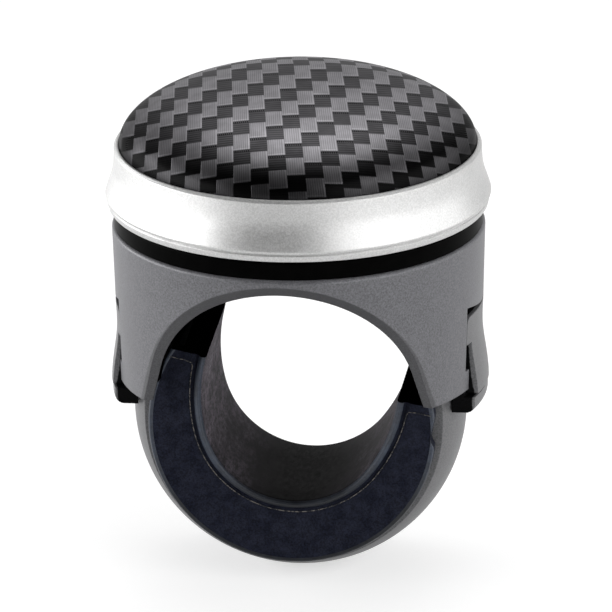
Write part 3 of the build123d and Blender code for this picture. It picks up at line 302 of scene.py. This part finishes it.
def view_axes():
    """Right, up and back directions of the slanted view of the photograph."""
    back = Vector((
        math.sin(AZIMUTH) * math.cos(ELEVATION),
        -math.cos(AZIMUTH) * math.cos(ELEVATION),
        math.sin(ELEVATION),
    ))
    level_right = Vector((math.cos(AZIMUTH), math.sin(AZIMUTH), 0))
    level_up = back.cross(level_right)
    right = level_right * math.cos(ROLL) - level_up * math.sin(ROLL)
    up = level_up * math.cos(ROLL) + level_right * math.sin(ROLL)
    return right, up, back


def material(name):
    made = bpy.data.materials.new(name)
    made.use_nodes = True
    return made, Nodes(made.node_tree)


def grey(value):
    return (value, value, value, 1.0)


def slant_coordinates(n, x, y, z):
    """Sideways coordinates of a place on the dome in the slanted view, as the weave's curves take them.

    The dome's far side is folded up about its ridge, so that the pattern carries on over the ridge.
    """
    aside = n.minus(x, KNOB_X_MM)
    across = n.times_plus(aside, math.cos(AZIMUTH), n.times(y, math.sin(AZIMUTH)))
    away = n.times_plus(y, math.cos(AZIMUTH), n.times(aside, -math.sin(AZIMUTH)))
    share = n.math("DIVIDE", across, DOME_R)
    rest = n.math("MAXIMUM", n.times_plus(share, n.times(share, -1.0), 1.0), 0.0)
    ridge = n.times_plus(n.math("SQRT", rest), DOME_HIGH, DOME_EDGE_Z - FOLD_DROP)
    folded = n.plus(ridge, n.math("ABSOLUTE", n.minus(ridge, z)))
    behind = n.math("GREATER_THAN", away, 0.0)
    high = n.plus(z, n.times(behind, n.minus(folded, z)))
    point = n.combine(x, y, high)
    from_aim = n.add("ShaderNodeVectorMath", {0: point, 1: AIM * MM}, operation="SUBTRACT")
    right, up, back = view_axes()
    sideways, upwards, nearer = n.dot(from_aim, right), n.dot(from_aim, up), n.dot(from_aim, back)
    scale = n.math("DIVIDE", FOCAL_PX / WEAVE_PIXELS, n.minus(CAMERA_FAR * MM, nearer))
    u = n.times_plus(sideways, scale, (PHOTO_PX / 2 - WEAVE_MIDDLE[0]) / WEAVE_PIXELS)
    v = n.times_plus(upwards, scale, (WEAVE_MIDDLE[1] - PHOTO_PX / 2) / WEAVE_PIXELS)
    return u, v


def curve_value(n, terms, cubic, u, v):
    """Second order polynomial of two coordinates with one cubic term."""
    start, by_u, by_v, by_uu, by_uv, by_vv, by_cube = terms
    along_u = n.times_plus(n.times_plus(u, by_uu, by_u), u, start)
    along_v = n.times_plus(n.times_plus(v, by_vv, by_v), v, along_u)
    crossed = n.times_plus(n.times(u, v), by_uv, along_v)
    cube = n.times(n.times(cubic, cubic), cubic)
    return n.times_plus(cube, by_cube, crossed)


def weave_cap():
    """Woven fibre under a clear film: light floats ribbed lengthwise over dark ones ribbed crosswise."""
    made, n = material("weave_cap")
    place = n.millimetres()
    x, y, z = n.split(place)
    u, v = slant_coordinates(n, x, y, z)
    columns = curve_value(n, WEAVE_COLUMNS, u, u, v)
    rows = curve_value(n, WEAVE_ROWS, v, u, v)
    column = n.math("FLOOR", columns)
    in_column = n.minus(columns, column)
    in_row = n.math("FRACT", n.times_plus(column, -WEAVE_SHIFT, rows))

    light = n.window(in_row, 0.0, 0.035, LIGHT_SHARE - 0.03, LIGHT_SHARE + 0.01)
    dark = n.minus(1.0, light)
    pillow = n.times(light, n.window(in_column, 0.0, 0.04, 0.96, 1.0))
    ribs_up = n.math("SINE", n.times(columns, 2 * math.pi * RIBS_IN_COLUMN))
    ribs_across = n.math("SINE", n.times(rows, 2 * math.pi * RIBS_IN_ROW))
    light_height = n.times_plus(n.times(ribs_up, pillow), RIB_HEIGHT, pillow)
    height = n.plus(light_height, n.times(n.times(ribs_across, dark), RIB_HEIGHT))

    # Painted highlight: a bright line along the lower and the right edge of each light float.
    foot = n.window(in_row, 0.03, 0.05, 0.06, 0.08)
    side = n.window(in_column, 0.90, 0.93, 0.95, 0.98)
    painted_edge_highlight = n.times(n.math("MAXIMUM", foot, n.times(side, light)), light)
    gap = n.times(n.ramp(in_row, 0.925, 0.945), n.ramp(ribs_up, -0.3, 0.3))
    grain = n.noise(place, scale=6.0, detail=3.0)
    cloud = n.noise(place, scale=0.35)

    # Painted shade: both kinds of float darken towards the dome's edge, the dark floats more deeply.
    light_tone = n.times_plus(ribs_up, LIGHT_RIB, n.times_plus(grain, LIGHT_GRAIN, LIGHT_TONE))
    light_tone = n.times(n.times_plus(painted_edge_highlight, PAINTED_EDGE_HIGHLIGHT_TONE, light_tone), n.ramp(z, *LIGHT_SHADE))
    dark_tone = n.times_plus(ribs_across, DARK_RIB, n.times_plus(grain, DARK_GRAIN, DARK_TONE))
    dark_tone = n.times(n.times(dark_tone, n.times_plus(gap, GAP_DEPTH, 1.0)), n.ramp(z, *DARK_SHADE))
    tone = n.plus(n.times(light_tone, light), n.times(dark_tone, dark))
    tone = n.times(tone, n.spread(cloud, 0.9, 1.1))
    n.surface(
        base_color=n.tinted(tone, green=0.975, blue=1.03),
        roughness=n.ramp(light, 0.0, 1.0, 0.44, 0.40),
        metallic=0.9,
        specular=0.2,
        specular_tint=grey(0.45),
        normal=n.bump(height, strength=0.30, distance=0.00010),
        coat_weight=0.02,
        coat_roughness=0.20,
    )
    return made


def satin_silver():
    """Silver paint with a fine metallic grain."""
    made, n = material("satin_silver")
    place = n.millimetres()
    fleck = n.noise(place, scale=3.4, detail=3.0, roughness=0.7)
    cloud = n.noise(place, scale=0.5)
    tone = n.plus(n.spread(fleck, 0.43, 0.555, over=NOISE_NARROW), n.times(cloud, 0.03))
    n.surface(
        base_color=n.tinted(tone, blue=0.995),
        roughness=n.spread(fleck, 0.38, 0.48),
        metallic=0.75,
        normal=n.bump(fleck, strength=0.12, distance=0.00010, normal=n.soft_edges()),
    )
    return made


def arch_distance(n, aside, z):
    """Distance from the arch's centre, measured as its round head and its leaning feet are."""
    rise = n.minus(z, ARCH_Z)
    wide = n.math("ABSOLUTE", aside)
    round_head = n.math("SQRT", n.times_plus(wide, wide, n.times(rise, rise)))
    foot = n.times_plus(wide, math.cos(FOOT_LEAN), n.times(rise, math.sin(FOOT_LEAN)))
    in_foot = n.math("LESS_THAN", rise, n.times(wide, math.tan(FOOT_LEAN)))
    return n.times_plus(in_foot, n.minus(foot, round_head), round_head)


def painted_grey(name, inner_r, arched=False, bulge=0.0):
    """Grey satin paint with a fine fleck over black plastic, which shows inside a radius from the knob's axis.

    On an arched part the bevel round the arch is darker, a painted shade on that inward-facing bevel. A bulge moves the
    paint's edge outwards below the notch.
    """
    made, n = material(name)
    place = n.millimetres()
    x, y, z = n.split(place)
    fleck = n.noise(place, scale=3.2, detail=4.0, roughness=0.7)
    cloud = n.noise(place, scale=0.25, detail=3.0)
    tone = n.plus(n.spread(fleck, 0.074, 0.150), n.times_plus(cloud, 0.02, -0.01))
    blue = 1.04
    aside = n.minus(x, KNOB_X_MM)
    radius = n.math("SQRT", n.times_plus(aside, aside, n.times(y, y)))
    if arched:
        # Painted shade: the bevel round the arch is darkened to about half.
        outside = ARCH_R + ARCH_BEVEL
        tone = n.times(tone, n.ramp(arch_distance(n, aside, z), outside - 0.2, outside + 0.1, 0.52, 1.0))
        blue = 1.08
    if bulge:
        sunk = n.math("MAXIMUM", n.minus(NOTCH_Z, z), 0.0)
        radius = n.minus(radius, n.times(n.times(sunk, sunk), bulge))
    ragged = n.times_plus(n.noise(place, scale=1.2), 0.3, radius)
    painted = n.ramp(ragged, inner_r, inner_r + 0.25)
    black = n.tinted(n.spread(fleck, 0.0015, 0.0035), blue=1.1)
    n.surface(
        base_color=n.mix(painted, black, n.tinted(tone, blue=blue)),
        roughness=n.spread(fleck, 0.40, 0.50),
        metallic=n.times(painted, 0.25),
        specular=n.ramp(painted, 0.0, 1.0, 0.03, 0.45),
        normal=n.bump(fleck, strength=0.22, distance=0.00008, normal=n.soft_edges()),
    )
    return made


def rubber_black(name, level):
    """Matt slate-black rubber with a mottled skin."""
    made, n = material(name)
    place = n.millimetres()
    skin = n.noise(place, scale=3.4, detail=4.0, roughness=0.7)
    cloud = n.noise(place, scale=0.35, detail=3.0, roughness=0.6)
    tone = n.times(n.spread(skin, 0.50, 1.50, over=(0.32, 0.68)), n.spread(cloud, 0.8 * level, 1.25 * level))
    n.surface(
        base_color=n.tinted(tone, green=1.2, blue=2.3),
        roughness=n.spread(cloud, 0.56, 0.80),
        specular=n.spread(cloud, 0.06, 0.14, over=NOISE_NARROW),
        normal=n.bump(skin, strength=0.25, distance=0.0002, normal=n.soft_edges(0.0004)),
    )
    return made


def rubber_edge():
    """The same rubber where a rolled edge is rubbed smooth; its paler, bluish colour is a painted highlight."""
    made, n = material("rubber_edge")
    place = n.millimetres()
    z = n.split(place)[2]
    skin = n.noise(place, scale=2.2, detail=4.0, roughness=0.65)
    cloud = n.noise(place, scale=0.5)
    # Painted highlight and shade: the rolled edges are paler than the rubber, brighter higher up and darker low down.
    tone = n.ramp(n.plus(skin, cloud), 0.7, 1.3, 0.010, 0.020)
    tone = n.times(tone, n.ramp(z, -18.0, -6.0, 0.4, 2.0))
    n.surface(
        base_color=n.tinted(tone, green=1.25, blue=1.8),
        roughness=n.spread(cloud, 0.38, 0.52),
        specular=0.35,
        normal=n.bump(skin, strength=0.15, distance=0.0001, normal=n.soft_edges()),
    )
    return made


def rubber_end_painted_shade():
    """Dull black cut of the rubber on the ends of the liner's arms, far darker than the rest of the rubber as a painted
    shade under the saddle's roof.
    """
    made, n = material("rubber_end_painted_shade")
    skin = n.noise(n.millimetres(), scale=3.0, detail=3.0, roughness=0.6)
    n.surface(
        base_color=n.tinted(n.spread(skin, 0.0003, 0.0010)),
        roughness=n.spread(skin, 0.85, 0.95),
        specular=0.0,
        normal=n.bump(skin, strength=0.2, distance=0.0001),
    )
    return made


def rubber_bore():
    """Mottled rubber of the bore, with painted shade that darkens it low down and painted light that brightens it
    towards its arms' ends.
    """
    made, n = material("rubber_bore")
    x, y, z = n.split(n.millimetres())
    stretched = n.combine(x, n.times(y, 0.4), z)
    skin = n.noise(stretched, scale=1.5, detail=5.0, roughness=0.75)
    cloud = n.noise(stretched, scale=0.35, detail=3.0, roughness=0.6)
    # Painted shade and light by height: near black at the bottom of the bore, up to three times as bright towards its
    # arms' ends.
    painted_shade_and_light = n.times(n.ramp(z, -16.4, -10.0, 0.04, 1.0), n.ramp(z, -9.0, 5.0, 1.0, 3.0, smooth=False))
    tone = n.times(n.spread(skin, 0.25, 1.9, over=NOISE_NARROW), n.spread(cloud, 0.017, 0.038, over=NOISE_NARROW))
    n.surface(
        base_color=n.tinted(n.times(tone, painted_shade_and_light), red=1.16, blue=1.20),
        roughness=n.spread(skin, 0.62, 0.80),
        specular=0.07,
        normal=n.bump(skin, strength=0.15, distance=0.0001, normal=n.soft_edges()),
    )
    return made


def rubber_flash():
    """Parting line of the moulding, with short pale dashes that are a painted highlight along its ridge."""
    made, n = material("rubber_flash")
    painted_highlight_dashes = n.ramp(n.noise(n.millimetres(), scale=1.6, roughness=0.7), 0.46, 0.56)
    n.surface(
        base_color=n.mix(painted_highlight_dashes, (0.010, 0.011, 0.015, 1.0), (0.14, 0.13, 0.12, 1.0)),
        roughness=0.6,
        specular=0.3,
        normal=n.bump(painted_highlight_dashes, strength=0.2, distance=0.00005),
    )
    return made


def plastic_black():
    """Black moulded plastic with a fine spark-eroded grain."""
    made, n = material("plastic_black")
    grain = n.noise(n.millimetres(), scale=6.0, detail=3.0, roughness=0.6)
    n.surface(
        base_color=n.tinted(n.spread(grain, 0.003, 0.006), blue=1.15),
        roughness=0.42,
        specular=0.2,
        normal=n.bump(grain, strength=0.2, distance=0.0001, normal=n.soft_edges()),
    )
    return made


def collar_black():
    """Smooth black ring with the faint lines of its turning."""
    made, n = material("collar_black")
    place = n.millimetres()
    z = n.split(place)[2]
    lines = n.noise(n.combine(z=n.times(z, 6.0)), scale=1.0)
    haze = n.noise(place, scale=0.4)
    n.surface(
        base_color=n.tinted(n.spread(haze, 0.0004, 0.0010)),
        roughness=0.34,
        specular=0.012,
        normal=n.bump(lines, strength=0.08, distance=0.00006, normal=n.soft_edges()),
    )
    return made


def turned_metal(name, tint, rough):
    """Plain metal with fine machining marks."""
    made, n = material(name)
    x, y, z = n.split(n.millimetres())
    marks = n.noise(n.combine(x, y, n.times(z, 8.0)), scale=2.0, detail=3.0)
    dimmed = tuple(0.85 * channel for channel in tint)
    n.surface(
        base_color=n.mix(n.ramp(marks, *NOISE_ALL), (*dimmed, 1.0), (*tint, 1.0)),
        roughness=n.spread(marks, rough, rough + 0.12),
        metallic=1.0,
        normal=n.bump(marks, strength=0.08, distance=0.00005, normal=n.soft_edges(0.0002)),
    )
    return made


FINISHES = {
    "weave_cap": weave_cap(),
    "satin_silver": satin_silver(),
    "plastic_grey": painted_grey("plastic_grey", 0.0),
    "rubber_black": rubber_black("rubber_black", 0.0076),
    "rubber_pad": rubber_black("rubber_pad", 0.006),
    "rubber_flash": rubber_flash(),
    "rubber_edge": rubber_edge(),
    "rubber_bore": rubber_bore(),
    "rubber_end_painted_shade": rubber_end_painted_shade(),
    "plastic_black": plastic_black(),
    "collar_black": collar_black(),
    "steel": turned_metal("steel", (0.50, 0.50, 0.51), 0.28),
    "bearing_steel": turned_metal("bearing_steel", (0.60, 0.60, 0.61), 0.14),
    "cage_brass": turned_metal("cage_brass", (0.62, 0.46, 0.20), 0.26),
}

# CAD nodes of black plastic that are painted grey outside
PAINTED = {
    "saddle_housing": painted_grey("saddle_paint", 30.5, arched=True),
    "release_lever_left": painted_grey("toe_paint", 32.75),
    "lever_cover_left": painted_grey("cover_paint", 31.8, bulge=0.0105),
}
PAINTED["release_lever_right"] = PAINTED["release_lever_left"]
PAINTED["lever_cover_right"] = PAINTED["lever_cover_left"]


def finish_nodes():
    """Gives every CAD node its own paint, or the finish that its slot in the record names."""
    for part in frame["record"]["subparts"]:
        node = frame["nodes"][part["node"]]
        node.data.materials.clear()
        node.data.materials.append(PAINTED.get(part["node"], FINISHES[part["material_slot"]]))


def new_piece(name, made, *finishes):
    """An object from a finished bmesh, smooth between sharp edges."""
    bmesh.ops.recalc_face_normals(made, faces=made.faces)
    mesh = bpy.data.meshes.new(name)
    made.to_mesh(mesh)
    made.free()
    for face in mesh.polygons:
        face.use_smooth = True
    mesh.set_sharp_from_angle(angle=SHARP_ANGLE)
    for finish in finishes:
        mesh.materials.append(FINISHES[finish])
    piece = bpy.data.objects.new(name, mesh)
    bpy.context.scene.collection.objects.link(piece)
    return piece


def round_edges(piece, width, sharper_than):
    bevel = piece.modifiers.new("rounding", "BEVEL")
    bevel.width = width
    bevel.segments = 3
    bevel.angle_limit = math.radians(sharper_than)


def make_ring(made, count, radius, z, aside=0.0):
    """Points round the knob's axis, or round a line aside of it, given in millimetres."""
    ring = []
    for index in range(count):
        angle = 2 * math.pi * index / count
        x = KNOB_X + (aside + radius * math.cos(angle)) / MM
        ring.append(made.verts.new((x, radius * math.sin(angle) / MM, z / MM)))
    return ring


def join_rings(made, here, there):
    """A band of faces between two closed rows of points, one of which may be a single repeated point."""
    for station in range(len(here)):
        after = (station + 1) % len(here)
        corners = []
        for corner in (here[station], here[after], there[after], there[station]):
            if corner not in corners:
                corners.append(corner)
        if len(corners) > 2:
            made.faces.new(corners)


def bore_gap(x, w):
    """Distance outside the oval bore of a point in the liner's frame."""
    x = abs(x)
    rise = w - ARC_RISE
    if rise > BORE_WIDE_AT:
        return x - BORE_HALF
    if math.atan2(rise, x) < -LEAN:
        return math.hypot(x, rise) - BORE_R
    return math.hypot(x + SIDE_R - BORE_HALF, rise - BORE_WIDE_AT) - SIDE_R


def last_true(holds, low, high):
    """The value between two up to which a condition holds."""
    for _ in range(BISECTIONS):
        middle = (low + high) / 2
        if holds(middle):
            low = middle
        else:
            high = middle
    return low


def reach(line, value, angle):
    """How far from the liner's centre its bore, grown by a value, or its round body lies in a direction."""
    if line == "round":
        w = value * math.sin(angle)
        share = min(max((w - NECK_FROM) / NECK_RISE, 0.0), 1.0)
        widest = FLANGE_R + (FLANGE_NECK - FLANGE_R) * share * share * (3 - 2 * share)
        return min(value, widest / max(abs(math.cos(angle)), TINY))
    return last_true(lambda far: bore_gap(far * math.cos(angle), far * math.sin(angle)) < value, 0.0, FARTHEST)


def end_angle(line, value, end):
    """Direction in which a line of the liner meets the level at which its arms end."""
    return last_true(lambda angle: reach(line, value, angle) * math.sin(angle) < end, 0.0, STEEPEST_END)


def in_frame(x, y, w):
    """A point of the liner's turned frame in the frame of the model."""
    return (
        KNOB_X + x * math.cos(LINER_TURN) + w * math.sin(LINER_TURN),
        y,
        TURN_Z - x * math.sin(LINER_TURN) + w * math.cos(LINER_TURN),
    )


def liner_line(line, value, end=LINER_END):
    """Points along one line of the liner, from its right arm down and round to its left arm."""
    start = end_angle(line, value, end)
    points = []
    for index in range(LINER_STATIONS + 1):
        angle = start - (math.pi + 2 * start) * index / LINER_STATIONS
        far = reach(line, value, angle)
        points.append((far * math.cos(angle), far * math.sin(angle)))
    return points


def make_liner():
    """Rubber liner with a rolled lip round its bore, a sunk panel and a rounded flange."""
    section = [(line, value, -y) for line, value, y in reversed(LINER_SECTION)]
    section += LINER_SECTION[1:-1]  # its last line is the first one again
    made = bmesh.new()
    grid = []
    for line, value, y in section:
        grid.append([made.verts.new(in_frame(x, y, w)) for x, w in liner_line(line, value)])
    count = len(grid)
    half = count // 2
    for index in range(count):
        here, there = grid[index], grid[(index + 1) % count]
        strip = index - half if index >= half else half - 1 - index
        finish = BORE if strip in BORE_STRIPS else EDGE if strip in EDGE_STRIPS else FACE
        for station in range(LINER_STATIONS):
            face = made.faces.new((here[station], there[station], there[station + 1], here[station + 1]))
            face.material_index = finish
    for end in ([row[0] for row in reversed(grid)], [row[-1] for row in grid]):
        made.faces.new(end).material_index = END
    piece = new_piece("liner_skin", made, *LINER_FINISHES)
    round_edges(piece, 0.0003, sharper_than=50)
    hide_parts("clamp_liner")
    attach(piece, "liner")


def make_seams():
    """Fine raised parting lines on the liner's faces, which turn outwards below the arms' tops."""
    top = LINER_END - SEAM_TOP
    points = liner_line("bore", SEAM_OFFSET, top - SEAM_CORNER)
    inner_x = points[0][0]
    head = [
        (SEAM_OUT_X, top),
        (inner_x + 2 * SEAM_CORNER, top),
        (inner_x + 0.3 * SEAM_CORNER, top - 0.3 * SEAM_CORNER),
    ]
    tail = [(-x, w) for x, w in reversed(head)]
    for side, word in ((-1, "front"), (1, "back")):
        path = [in_frame(x, side * SEAM_Y, w) for x, w in head + points + tail]
        curve = bpy.data.curves.new("liner_seam_" + word, "CURVE")
        curve.dimensions = "3D"
        curve.bevel_depth = SEAM_R
        curve.bevel_resolution = 2
        spline = curve.splines.new("POLY")
        spline.points.add(len(path) - 1)
        for point, place in zip(spline.points, path):
            point.co = (*place, 1.0)
        curve.materials.append(FINISHES["rubber_flash"])
        seam = bpy.data.objects.new("liner_seam_" + word, curve)
        bpy.context.scene.collection.objects.link(seam)
        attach(seam, "liner")


def make_dome():
    """Cap's dome as a fine lathe mesh: oval outside, oval inside and the stepped foot that the bezel holds."""
    profile = [(RIM_R, RIM_Z), (RIM_R, DOME_FOOT_Z), (DOME_R, DOME_FOOT_Z)]
    for step in range(DOME_OUTER_STEPS + 1):
        angle = math.pi / 2 * step / DOME_OUTER_STEPS
        profile.append((DOME_R * math.cos(angle), DOME_EDGE_Z + DOME_HIGH * math.sin(angle)))
    inner_r, inner_high = DOME_R - DOME_WALL, DOME_HIGH - DOME_WALL
    for step in range(DOME_INNER_STEPS + 1):
        angle = math.pi / 2 * (1 - step / DOME_INNER_STEPS)
        profile.append((inner_r * math.cos(angle), DOME_EDGE_Z + inner_high * math.sin(angle)))
    profile.append((inner_r, RIM_Z))
    made = bmesh.new()
    rings = []
    for radius, z in profile:
        if radius < TINY:
            rings.append([made.verts.new((KNOB_X, 0, z / MM))] * DOME_AROUND)
        else:
            rings.append(make_ring(made, DOME_AROUND, radius, z))
    for index in range(len(rings)):
        join_rings(made, rings[index], rings[(index + 1) % len(rings)])
    piece = new_piece("dome_skin", made, "weave_cap")
    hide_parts("dome_cap")
    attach(piece, "head")


def pad_outline():
    """Section of the pad across the rim, in millimetres: a block with a grooved hollow below.

    It starts at the top left and goes along the top, down the right side, and back through the hollow.
    """
    left, right = KNOB_X_MM - PAD_HALF_X, KNOB_X_MM + PAD_HALF_X
    foot = math.degrees(math.asin((PAD_LOW - PAD_ARC_Z) / PAD_ARC_R))
    points = [(left, PAD_TOP), (right, PAD_TOP), (right, PAD_LOW)]
    for index in range(PAD_ARC_STEPS + 1):
        degrees = foot + (180 - 2 * foot) * index / PAD_ARC_STEPS
        radius = PAD_ARC_R
        for groove in PAD_GROOVE_ANGLES:
            aside = PAD_ARC_R * math.radians(degrees - groove)
            if abs(aside) < PAD_GROOVE_R:
                radius += math.sqrt(PAD_GROOVE_R**2 - aside**2)
        angle = math.radians(degrees)
        points.append((radius * math.cos(angle), PAD_ARC_Z + radius * math.sin(angle)))
    points.append((left, PAD_LOW))
    return points


def make_pad():
    """Rubber pad with grip grooves along the rim, rounded moulded edges and its two pegs."""
    made = bmesh.new()
    front, back = (
        [made.verts.new((x / MM, y / MM, z / MM)) for x, z in pad_outline()] for y in (-PAD_HALF_Y, PAD_HALF_Y)
    )
    join_rings(made, front, back)
    made.faces.new(front)
    made.faces.new(list(reversed(back)))
    peg_top = PAD_TOP + PEG_HIGH
    peg_profile = ((PEG_R, PAD_TOP - PEG_ROOT), (PEG_R, peg_top - PEG_CHAMFER), (PEG_R - PEG_CHAMFER, peg_top))
    for aside in PAD_PEGS:
        rows = [make_ring(made, PEG_AROUND, radius, z, aside) for radius, z in peg_profile]
        for here, there in zip(rows, rows[1:]):
            join_rings(made, here, there)
        made.faces.new(list(reversed(rows[0])))
        made.faces.new(rows[-1])
    piece = new_piece("pad_skin", made, "rubber_pad")
    round_edges(piece, 0.0005, sharper_than=60)
    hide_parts("saddle_pad")
    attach(piece, "saddle")


def make_camera():
    right, up, back = view_axes()
    data = bpy.data.cameras.new("camera")
    data.sensor_width = SENSOR_MM
    data.lens = FOCAL_PX * SENSOR_MM / PHOTO_PX
    data.clip_start, data.clip_end = CAMERA_CLIP
    camera = bpy.data.objects.new("camera", data)
    turn = Matrix((right, up, back)).transposed().to_4x4()
    camera.matrix_world = Matrix.Translation(AIM + back * CAMERA_FAR) @ turn
    bpy.context.scene.collection.objects.link(camera)
    bpy.context.scene.camera = camera


def make_floor():
    """A pale floor that the camera sees nearly white and that keeps the shadow."""
    mesh = bpy.data.meshes.new("floor")
    corners = [(x * FLOOR_HALF, y * FLOOR_HALF, FLOOR_Z) for x, y in ((-1, -1), (1, -1), (1, 1), (-1, 1))]
    mesh.from_pydata(corners, [], [(0, 1, 2, 3)])
    floor = bpy.data.objects.new("floor", mesh)
    bpy.context.scene.collection.objects.link(floor)
    made, n = material("pale_floor")
    diffuse = n.add("ShaderNodeBsdfDiffuse", {"Color": grey(FLOOR_GREY)})
    glow = n.add("ShaderNodeEmission", {"Color": grey(1.0), "Strength": FLOOR_GLOW})
    both = n.add("ShaderNodeAddShader", {0: diffuse, 1: glow})
    path = n.tree.nodes.new("ShaderNodeLightPath")
    seen = n.math("ADD", path.outputs["Is Camera Ray"], path.outputs["Is Glossy Ray"], clamp=True)
    shown = n.add("ShaderNodeMixShader", {0: seen, 1: diffuse, 2: both})
    n.add("ShaderNodeOutputMaterial", {"Surface": shown})
    mesh.materials.append(made)


def make_world():
    """White studio behind the object, dimmer in front of it and high up at its sides, and plain white to the camera."""
    world = bpy.data.worlds.new("studio")
    bpy.context.scene.world = world
    world.use_nodes = True
    n = Nodes(world.node_tree)
    across, back, up = n.split(n.add("ShaderNodeTexCoord", output=0))
    aside = n.ramp(n.math("ABSOLUTE", across), *STUDIO_SIDE)
    overhead = n.ramp(up, *STUDIO_OVERHEAD)
    dimmed = n.times_plus(n.times(aside, overhead), STUDIO_DIMMING, 1.0)
    studio = n.times(n.ramp(back, *STUDIO_BACK), dimmed)
    path = n.tree.nodes.new("ShaderNodeLightPath")
    camera_white = n.add("ShaderNodeBackground", {"Color": grey(1.0), "Strength": 1.0})
    light = n.add("ShaderNodeBackground", {"Color": grey(1.0), "Strength": studio})
    shown = n.add("ShaderNodeMixShader", {0: path.outputs["Is Camera Ray"], 1: light, 2: camera_white})
    n.add("ShaderNodeOutputWorld", {"Surface": shown})


def make_lamps():
    for name, place, size, power in LAMPS:
        data = bpy.data.lights.new(name, "AREA")
        data.shape = "RECTANGLE"
        data.size, data.size_y = size
        data.energy = power
        lamp = bpy.data.objects.new(name, data)
        lamp.location = place
        lamp.rotation_euler = (Vector(LAMP_AIM) - Vector(place)).to_track_quat("-Z", "Y").to_euler()
        bpy.context.scene.collection.objects.link(lamp)


make_camera()
make_world()
make_lamps()
make_floor()
finish_nodes()
make_dome()
make_liner()
make_seams()
make_pad()
bpy.context.scene.view_settings.view_transform = "Standard"
